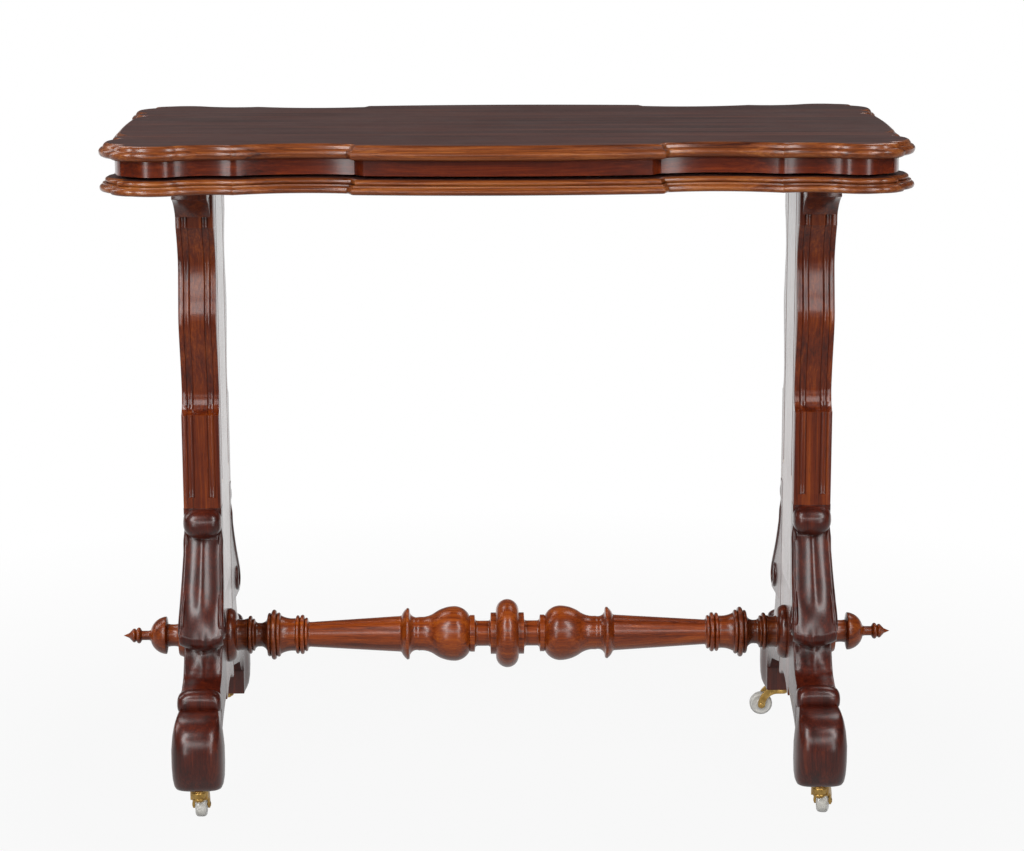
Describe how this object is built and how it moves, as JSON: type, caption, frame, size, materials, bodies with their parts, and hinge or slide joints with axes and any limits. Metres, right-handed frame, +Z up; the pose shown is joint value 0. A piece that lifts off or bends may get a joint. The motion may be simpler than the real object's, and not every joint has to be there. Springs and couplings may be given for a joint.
{
  "type": "serving table",
  "caption": "Polished mahogany serving table with a shaped moulded top that rises on uprights sliding in end standards, scroll legs, a turned stretcher and castors.",
  "frame": {"origin": "on the floor under the middle of the table", "axes": "+Z up, +X along the table to the right seen from the front, the front faces -Y"},
  "size_m": [0.8496, 0.414, 0.72],
  "materials": {
    "board_mahogany": "polished",
    "post_mahogany": "polished",
    "turned_mahogany": "polished",
    "leg_mahogany": "polished",
    "plain_wood": "unpolished",
    "brass": "aged, softly polished",
    "steel": "plain",
    "porcelain": "white glaze"
  },
  "bodies": {
    "frame": {"front_left_castor_socket": "brass", "front_left_corbel": "post_mahogany", "front_left_edge": "post_mahogany", "front_left_leg": "leg_mahogany", "front_right_castor_socket": "brass", "front_right_corbel": "post_mahogany", "front_right_edge": "post_mahogany", "front_right_leg": "leg_mahogany", "left_core_block": "post_mahogany", "left_finial": "turned_mahogany", "left_inner_cheek": "post_mahogany", "left_outer_cheek": "post_mahogany", "left_stretcher_boss": "turned_mahogany", "leg_dowels": "plain_wood", "lower_tier": "board_mahogany", "rear_left_castor_socket": "brass", "rear_left_corbel": "post_mahogany", "rear_left_edge": "post_mahogany", "rear_left_leg": "leg_mahogany", "rear_right_castor_socket": "brass", "rear_right_corbel": "post_mahogany", "rear_right_edge": "post_mahogany", "rear_right_leg": "leg_mahogany", "right_core_block": "post_mahogany", "right_finial": "turned_mahogany", "right_inner_cheek": "post_mahogany", "right_outer_cheek": "post_mahogany", "right_stretcher_boss": "turned_mahogany", "stretcher": "turned_mahogany"},
    "rising_top": {"band_front_left": "board_mahogany", "band_front_middle": "board_mahogany", "band_front_right": "board_mahogany", "band_left_end": "board_mahogany", "band_rear_left": "board_mahogany", "band_rear_middle": "board_mahogany", "band_rear_right": "board_mahogany", "band_right_end": "board_mahogany", "batten_screws": "steel", "friction_springs": "brass", "guide_pins": "brass", "left_batten": "plain_wood", "left_upright": "plain_wood", "right_batten": "plain_wood", "right_upright": "plain_wood", "top_board": "board_mahogany"},
    "front_left_horn": {"front_left_castor_horn": "brass", "front_left_castor_axle": "brass"},
    "front_left_wheel": {"front_left_castor_wheel": "porcelain"},
    "front_right_horn": {"front_right_castor_horn": "brass", "front_right_castor_axle": "brass"},
    "front_right_wheel": {"front_right_castor_wheel": "porcelain"},
    "rear_left_horn": {"rear_left_castor_horn": "brass", "rear_left_castor_axle": "brass"},
    "rear_left_wheel": {"rear_left_castor_wheel": "porcelain"},
    "rear_right_horn": {"rear_right_castor_horn": "brass", "rear_right_castor_axle": "brass"},
    "rear_right_wheel": {"rear_right_castor_wheel": "porcelain"}
  },
  "joints": [
    {"name": "top_rise", "type": "slide", "parent": "frame", "child": "rising_top", "axis": [0, 0, 1], "range_m": [0, 0.32]},
    {"name": "front_left_swivel", "type": "hinge", "parent": "frame", "child": "front_left_horn", "pos_m": [-0.328, -0.181, 0.03], "axis": [0, 0, 1], "continuous": true},
    {"name": "front_left_roll", "type": "hinge", "parent": "front_left_horn", "child": "front_left_wheel", "pos_m": [-0.328, -0.155, 0.0133], "axis": [-1, 0, 0], "continuous": true},
    {"name": "front_right_swivel", "type": "hinge", "parent": "frame", "child": "front_right_horn", "pos_m": [0.328, -0.181, 0.03], "axis": [0, 0, 1], "continuous": true},
    {"name": "front_right_roll", "type": "hinge", "parent": "front_right_horn", "child": "front_right_wheel", "pos_m": [0.33473, -0.15589, 0.0133], "axis": [-0.9659, 0.2588, 0], "continuous": true},
    {"name": "rear_left_swivel", "type": "hinge", "parent": "frame", "child": "rear_left_horn", "pos_m": [-0.328, 0.181, 0.03], "axis": [0, 0, 1], "continuous": true},
    {"name": "rear_left_roll", "type": "hinge", "parent": "rear_left_horn", "child": "rear_left_wheel", "pos_m": [-0.354, 0.181, 0.0133], "axis": [0, -1, 0], "continuous": true},
    {"name": "rear_right_swivel", "type": "hinge", "parent": "frame", "child": "rear_right_horn", "pos_m": [0.328, 0.181, 0.03], "axis": [0, 0, 1], "continuous": true},
    {"name": "rear_right_roll", "type": "hinge", "parent": "rear_right_horn", "child": "rear_right_wheel", "pos_m": [0.302, 0.181, 0.0133], "axis": [0, -1, 0], "continuous": true}
  ]
}
